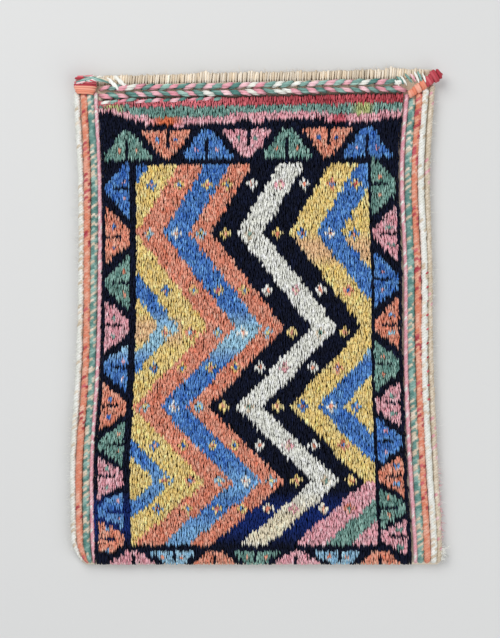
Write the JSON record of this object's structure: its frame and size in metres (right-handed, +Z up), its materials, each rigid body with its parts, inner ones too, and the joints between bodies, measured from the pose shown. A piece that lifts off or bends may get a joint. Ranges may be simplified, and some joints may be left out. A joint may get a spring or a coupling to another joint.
{
  "type": "spoon bag",
  "caption": "Small flat wool bag with a knotted pile front in a zigzag pattern, a plain-woven back, an open mouth at one end and wrapped cords along both sides.",
  "frame": {"origin": "centre of the bag's outline, on the floor that the back lies on", "axes": "+X across the bag, +Y from the bottom fold to the mouth, +Z up out of the pile front"},
  "size_m": [0.2654, 0.3536, 0.0193],
  "materials": {
    "cloth": "knotted wool pile and plain weave",
    "dark_wool": "knotted wool pile",
    "blue_wool": "knotted wool pile",
    "yellow_wool": "knotted wool pile",
    "orange_wool": "wool yarn",
    "pink_wool": "wool yarn",
    "green_wool": "wool yarn",
    "crimson_wool": "wool yarn",
    "ivory_wool": "wool yarn",
    "undyed_wool": "wool yarn"
  },
  "bodies": {
    "root": {"bag_cloth": "cloth", "left_pink_cord": "pink_wool", "left_green_cord": "green_wool", "left_orange_cord": "orange_wool", "left_ivory_cord": "ivory_wool", "right_pink_cord": "pink_wool", "right_green_cord": "green_wool", "right_orange_cord": "orange_wool", "right_ivory_cord": "ivory_wool", "right_undyed_cord": "undyed_wool", "upper_pink_strand": "pink_wool", "upper_green_strand": "green_wool", "lower_pink_strand": "pink_wool", "lower_green_strand": "green_wool", "left_corner_wrap": "crimson_wool", "right_corner_wrap": "crimson_wool"}
  },
  "joints": []
}
